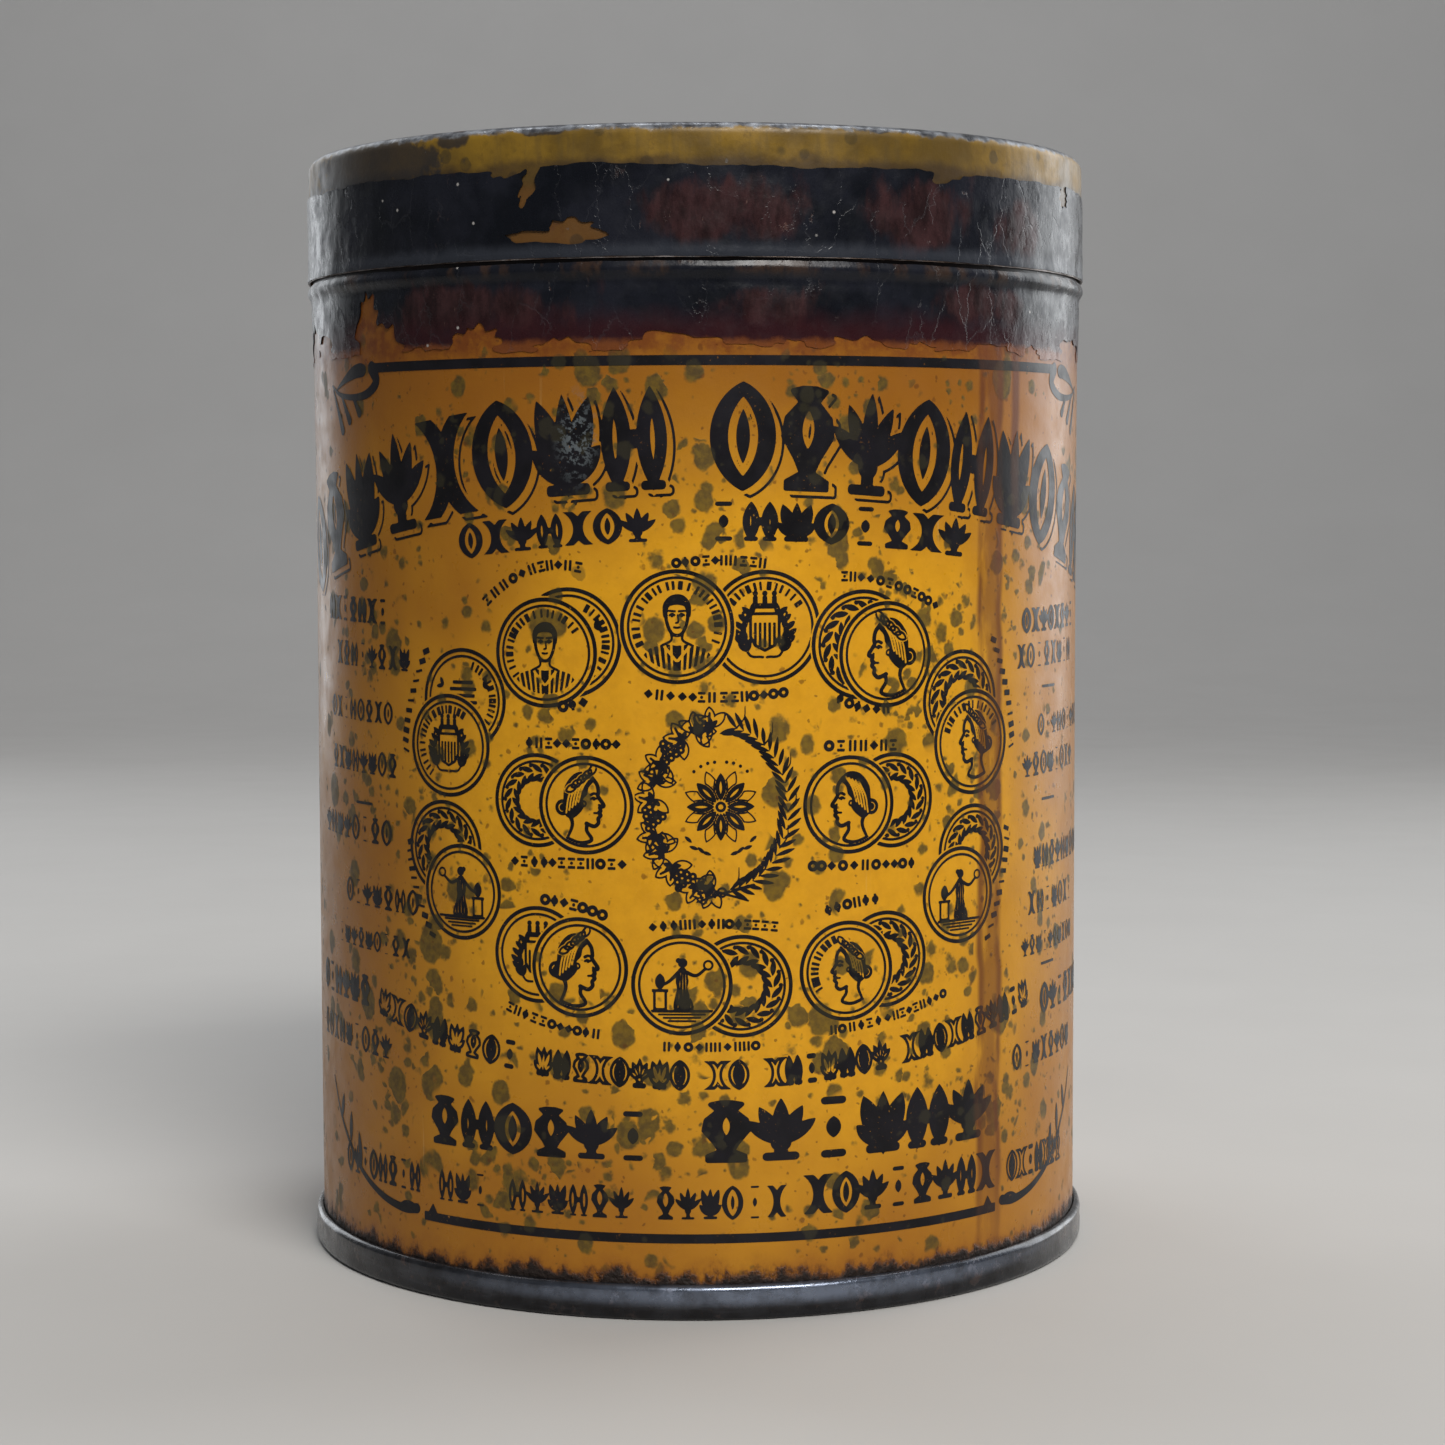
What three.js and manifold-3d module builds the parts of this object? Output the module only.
// A round tinplate canister with a slip-over lid, for dry powder such as ground spice.
// Millimetres, +Z up. The origin is the centre of the circle that the tin stands on.
//
// The wall is one rolled sheet. Its ends hook together in a lock seam at the back (+Y), its
// lower edge is hooked into the base in a double seam, and its top edge is curled inwards.
// The lid is one drawn cap. A paper sealing strip once bridged the joint between the lid
// and the wall; it is cut along the lid's edge, so half of it stays on each.
import * as THREE from "three";
import { mergeVertices } from "three/addons/utils/BufferGeometryUtils.js";
import Module from "manifold-3d";

const wasm = await Module();
wasm.setup();

// ---- driving dimensions -------------------------------------------------------------
const HEIGHT = 139; // standing height with the lid on
const WALL_R = 49.5; // outside radius of the wall
const SHEET = 0.25; // thickness of the tinplate
const PLAY = 0.08; // clearance between folded layers
const SEGMENTS = 72; // flat facets round the tin

const SEAM_H = 4.2; // height of the double seam round the base
const SEAM_ROUND = 0.5; // outside radius of the seam's bends
const PANEL_Z = 3.2; // top of the base panel
const PANEL_BEAD_R = 38; // radius of the pressed ring in the base panel
const PANEL_BEAD_H = 0.9; // height of that ring
const PANEL_BEAD_W = 4; // width of that ring

const NECK_Z = 136.9; // top of the curled edge of the wall
const CURL_R = 0.7; // outside radius of that curl

const LID_EDGE_Z = 123.6; // lower edge of the lid
const LID_PLAY = 0.2; // radial clearance between the lid and the wall
const LID_CORNER_R = 1.4; // outside radius where the skirt turns into the top
const LID_RIM_W = 3.2; // width of the flat rim round the lid's top
const LID_RECESS = 0.8; // depth of the lid's panel below its rim
const LID_FLARE = 0.15; // how far the lid's cut edge stands out

const STRIP_T = 0.16; // thickness of the paper sealing strip, with its varnish
const STRIP_GAP = 0.08; // the strip stands off the sheet under it
const STRIP_TOP_Z = 134.4; // upper edge of the strip, on the lid
const STRIP_BOTTOM_Z = 113.6; // lower edge of the strip, on the wall

const LOCK_W = 3.2; // width of the lock seam
const LOCK_BOTTOM_Z = 5; // the lock seam is notched away above the double seam
const LOCK_TOP_Z = 134; // and below the curled edge
const LOCK_JOG = 1.2; // length over which the sheet steps in beside the lock seam
const LOCK_SLIT = 0.15; // gap between the two ends of the sheet
const SOLDER_W = 1.2; // width of the solder fillet along the lock seam

// ---- helpers ------------------------------------------------------------------------
const BACK = Math.PI / 2; // the lock seam's angle, at +Y

// Points on an arc from one angle to another, in degrees, about (r, z).
function arc(r, z, radius, from, to, steps = 3) {
  return Array.from({ length: steps + 1 }, (_, i) => {
    const a = THREE.MathUtils.degToRad(from + ((to - from) * i) / steps);
    return [r + radius * Math.cos(a), z + radius * Math.sin(a)];
  });
}

// A closed ring or disc from its section: [r, z] points, anticlockwise with r to the right.
function revolve(section) {
  const closed = section[0][0] === 0 ? section : [...section, section[0]];
  const profile = closed.map(([r, z]) => new THREE.Vector2(r, z));
  return new THREE.LatheGeometry(profile, SEGMENTS).rotateX(Math.PI / 2);
}

// An upright prism from its plan: [s, r] points, s millimetres round the wall from the
// lock seam's centre and r from the tin's axis.
function uprightAtSeam(plan, bottom, top) {
  const points = [];
  plan.forEach(([s, r], i) => {
    const [sNext, rNext] = plan[(i + 1) % plan.length];
    const steps = Math.max(1, Math.ceil(Math.abs(sNext - s) / 1.5));
    for (let k = 0; k < steps; k++) {
      const t = k / steps;
      const angle = BACK - (s + (sNext - s) * t) / WALL_R;
      const radius = r + (rNext - r) * t;
      points.push(new THREE.Vector2(radius * Math.cos(angle), radius * Math.sin(angle)));
    }
  });
  const prism = new THREE.ExtrudeGeometry(new THREE.Shape(points), {
    depth: top - bottom,
    bevelEnabled: false,
  });
  return prism.translate(0, 0, bottom);
}

function solid(geometry) {
  const bare = geometry.clone();
  bare.deleteAttribute("normal");
  bare.deleteAttribute("uv");
  const merged = mergeVertices(bare, 1e-4);
  return new wasm.Manifold(
    new wasm.Mesh({
      numProp: 3,
      vertProperties: merged.attributes.position.array,
      triVerts: new Uint32Array(merged.index.array),
    }),
  );
}

function geometryOf(manifold) {
  const { vertProperties, triVerts } = manifold.getMesh();
  const geometry = new THREE.BufferGeometry();
  geometry.setAttribute("position", new THREE.BufferAttribute(vertProperties, 3));
  geometry.setIndex(new THREE.BufferAttribute(triVerts, 1));
  geometry.computeVertexNormals();
  return geometry;
}

function part(name, geometry, color, roughness, metalness) {
  const material = new THREE.MeshStandardMaterial({ color, roughness, metalness });
  const mesh = new THREE.Mesh(geometry, material);
  mesh.name = name;
  return mesh;
}

// ---- radii of the double seam, from the wall outwards ----------------------------------
const wallIn = WALL_R - SHEET;
const coverHookIn = WALL_R + PLAY;
const coverHookOut = coverHookIn + SHEET;
const bodyHookIn = coverHookOut + PLAY;
const bodyHookOut = bodyHookIn + SHEET;
const seamIn = bodyHookOut + PLAY;
const seamOut = seamIn + SHEET;

const hookBottom = SHEET + PLAY; // underside of the wall's flange
const bodyHookTop = SEAM_H - SHEET - 0.85; // tip of the wall's hook
const coverHookTip = hookBottom + SHEET + 0.3; // tip of the base's hook

// ---- the wall ---------------------------------------------------------------------------
// The rolled sheet before its ends are hooked: flange and hook below, curled edge above.
function rolledWall() {
  const curlCentreR = WALL_R - CURL_R;
  const curlZ = NECK_Z - CURL_R;
  const bend = SEAM_ROUND - SHEET - PLAY; // outside radius of the bend between flange and hook
  return revolve([
    [wallIn, hookBottom],
    ...arc(bodyHookOut - bend, hookBottom + bend, bend, -90, 0, 2),
    [bodyHookOut, bodyHookTop],
    [bodyHookIn, bodyHookTop],
    [bodyHookIn, hookBottom + SHEET],
    [WALL_R, hookBottom + SHEET],
    ...arc(curlCentreR, curlZ, CURL_R, 0, 210, 6),
    ...arc(curlCentreR, curlZ, CURL_R - SHEET, 210, 0, 6),
  ]);
}

function bodyWall() {
  const half = LOCK_W / 2;
  const pitch = SHEET + PLAY; // from one folded layer to the next
  const layer = (n) => [wallIn - n * pitch, WALL_R - n * pitch]; // inner and outer radius
  const [returnBIn, returnBOut] = layer(1);
  const [returnAIn, returnAOut] = layer(2);
  const [insideBIn, insideBOut] = layer(3);
  const fold = half - SHEET; // inner face of each fold
  const jogEnd = half + LOCK_SLIT + LOCK_JOG;
  const intoWall = 1.5; // how far a hook's piece runs into the sheet that it belongs to

  // End A lies flush outside, folds in and returns under the hook of end B.
  const hookA = [
    [fold, WALL_R],
    [fold, returnAOut],
    [-fold + SHEET, returnAOut],
    [-fold + SHEET, returnAIn],
    [half, returnAIn],
    [half, WALL_R],
  ];
  // End B steps in beside the seam, runs under it, folds out and returns inside end A.
  const hookB = [
    [jogEnd + intoWall, WALL_R],
    [jogEnd, WALL_R],
    [half + LOCK_SLIT, insideBOut],
    [-fold, insideBOut],
    [-fold, returnBIn],
    [fold - SHEET, returnBIn],
    [fold - SHEET, returnBOut],
    [-half, returnBOut],
    [-half, insideBIn],
    [half + LOCK_SLIT + SHEET / 2, insideBIn],
    [jogEnd + SHEET / 2, wallIn],
    [jogEnd + intoWall, wallIn],
  ];
  // What is cleared before the hooks go in: the stepped stretch, and a slit from top to bottom.
  const beyond = 1; // the cutters run this far past the sheet
  const cutter = (from, to) => [
    [from, wallIn - 2],
    [from, seamOut + beyond],
    [to, seamOut + beyond],
    [to, wallIn - 2],
  ];
  const step = uprightAtSeam(cutter(half, jogEnd), LOCK_BOTTOM_Z, LOCK_TOP_Z);
  const slit = uprightAtSeam(cutter(half, half + LOCK_SLIT), -beyond, NECK_Z + beyond);
  const open = solid(rolledWall()).subtract(solid(step)).subtract(solid(slit));
  const hooks = [hookA, hookB].map((plan) => solid(uprightAtSeam(plan, LOCK_BOTTOM_Z, LOCK_TOP_Z)));
  return geometryOf(open.add(hooks[0]).add(hooks[1]));
}

// A fillet of solder inside, along the fold of the lock seam.
function seamSolder() {
  const from = -LOCK_W / 2 - PLAY;
  const outer = wallIn - PLAY;
  const plan = [
    [from, outer],
    [from, outer - SOLDER_W * 0.7],
    [from - SOLDER_W * 0.35, outer - SOLDER_W * 0.25],
    [from - SOLDER_W, outer],
  ];
  return uprightAtSeam(plan, LOCK_BOTTOM_Z + 1, LOCK_TOP_Z - 1);
}

// ---- the base -----------------------------------------------------------------------------
// One pressed disc: panel with a stiffening ring, a wall down beside the tin's wall, and the
// rim that folds round the wall's hook.
function baseEnd() {
  const chuckOut = wallIn - PLAY; // outside of the wall that stands inside the tin
  const chuckIn = chuckOut - SHEET;
  const under = PANEL_Z - SHEET; // underside of the panel
  const beadIn = PANEL_BEAD_R - PANEL_BEAD_W / 2;
  const beadOut = PANEL_BEAD_R + PANEL_BEAD_W / 2;
  const bendR = seamOut - SEAM_ROUND; // the seam's bends turn about this radius
  return revolve([
    [0, under],
    [beadIn, under],
    [beadIn + 1, under + PANEL_BEAD_H],
    [beadOut - 1, under + PANEL_BEAD_H],
    [beadOut, under],
    [chuckIn - 0.6, under],
    [chuckIn, under - 0.6],
    [chuckIn, 0],
    ...arc(bendR, SEAM_ROUND, SEAM_ROUND, -90, 0),
    ...arc(bendR, SEAM_H - SEAM_ROUND, SEAM_ROUND, 0, 90),
    ...arc(coverHookIn + 0.3, SEAM_H - 0.3, 0.3, 90, 180, 2),
    [coverHookIn, coverHookTip],
    [coverHookOut, coverHookTip],
    [coverHookOut, SEAM_H - SHEET],
    ...arc(bendR, SEAM_H - SEAM_ROUND, SEAM_ROUND - SHEET, 90, 0, 2),
    ...arc(bendR, SEAM_ROUND, SEAM_ROUND - SHEET, 0, -90, 2),
    [chuckOut, SHEET],
    [chuckOut, under - 0.3],
    [chuckOut - 0.8, PANEL_Z],
    [beadOut, PANEL_Z],
    [beadOut - 1, PANEL_Z + PANEL_BEAD_H],
    [beadIn + 1, PANEL_Z + PANEL_BEAD_H],
    [beadIn, PANEL_Z],
    [0, PANEL_Z],
  ]);
}

// The sealing ring, trapped over the tip of the wall's hook.
function seamGasket() {
  const bottom = bodyHookTop + PLAY;
  const top = bottom + 0.45;
  return revolve([
    [bodyHookIn, bottom],
    [bodyHookOut, bottom],
    [bodyHookOut, top],
    [bodyHookIn, top],
  ]);
}

// ---- the lid ------------------------------------------------------------------------------
const skirtIn = WALL_R + LID_PLAY;
const skirtOut = skirtIn + SHEET;

function lid() {
  const cornerR = skirtOut - LID_CORNER_R;
  const cornerZ = HEIGHT - LID_CORNER_R;
  const rimIn = cornerR - LID_RIM_W; // inner edge of the flat rim
  const stepIn = rimIn - LID_RECESS; // foot of the slope down to the panel
  const panelTop = HEIGHT - LID_RECESS;
  return revolve([
    [0, panelTop - SHEET],
    [stepIn, panelTop - SHEET],
    [rimIn, HEIGHT - SHEET],
    ...arc(cornerR, cornerZ, LID_CORNER_R - SHEET, 90, 0, 3),
    [skirtIn, LID_EDGE_Z + 0.8],
    [skirtIn + LID_FLARE, LID_EDGE_Z],
    [skirtOut + LID_FLARE, LID_EDGE_Z],
    [skirtOut, LID_EDGE_Z + 0.8],
    ...arc(cornerR, cornerZ, LID_CORNER_R, 0, 90, 4),
    [rimIn, HEIGHT],
    [stepIn, panelTop],
    [0, panelTop],
  ]);
}

// ---- the sealing strip, cut in two along the lid's edge ---------------------------------------
function stripOnLid() {
  const inside = skirtOut + STRIP_GAP;
  const above = LID_EDGE_Z + 0.8;
  return revolve([
    [inside, above],
    [inside + STRIP_T, above],
    [inside + STRIP_T, STRIP_TOP_Z],
    [inside, STRIP_TOP_Z],
  ]);
}

// Below the lid the strip still stands off the wall by the lid's thickness, and tapers onto it.
function stripOnWall() {
  const inside = WALL_R + STRIP_GAP;
  const top = LID_EDGE_Z - 0.3;
  const stepOut = skirtOut - WALL_R;
  return revolve([
    [inside, STRIP_BOTTOM_Z],
    [inside + STRIP_T, STRIP_BOTTOM_Z],
    [inside + STRIP_T + stepOut, top - 1.5],
    [inside + STRIP_T + stepOut * 0.85, top],
    [inside, top],
  ]);
}

// ---- assembly -----------------------------------------------------------------------------
const tin = new THREE.Group();

const canister = new THREE.Group();
canister.add(
  part("body_wall", bodyWall(), 0xc9901e, 0.42, 0.1),
  part("side_seam_solder", seamSolder(), 0x8f8f8c, 0.45, 0.9),
  part("base_end", baseEnd(), 0x2b2b2e, 0.4, 0.6),
  part("seam_gasket", seamGasket(), 0x5b3a28, 0.8, 0),
  part("seal_strip_lower", stripOnWall(), 0x1d1516, 0.35, 0),
);

const cover = new THREE.Group();
cover.add(
  part("lid", lid(), 0x8a7420, 0.45, 0.2),
  part("seal_strip_upper", stripOnLid(), 0x1a1b20, 0.45, 0),
);

tin.add(canister, cover);

export default tin;
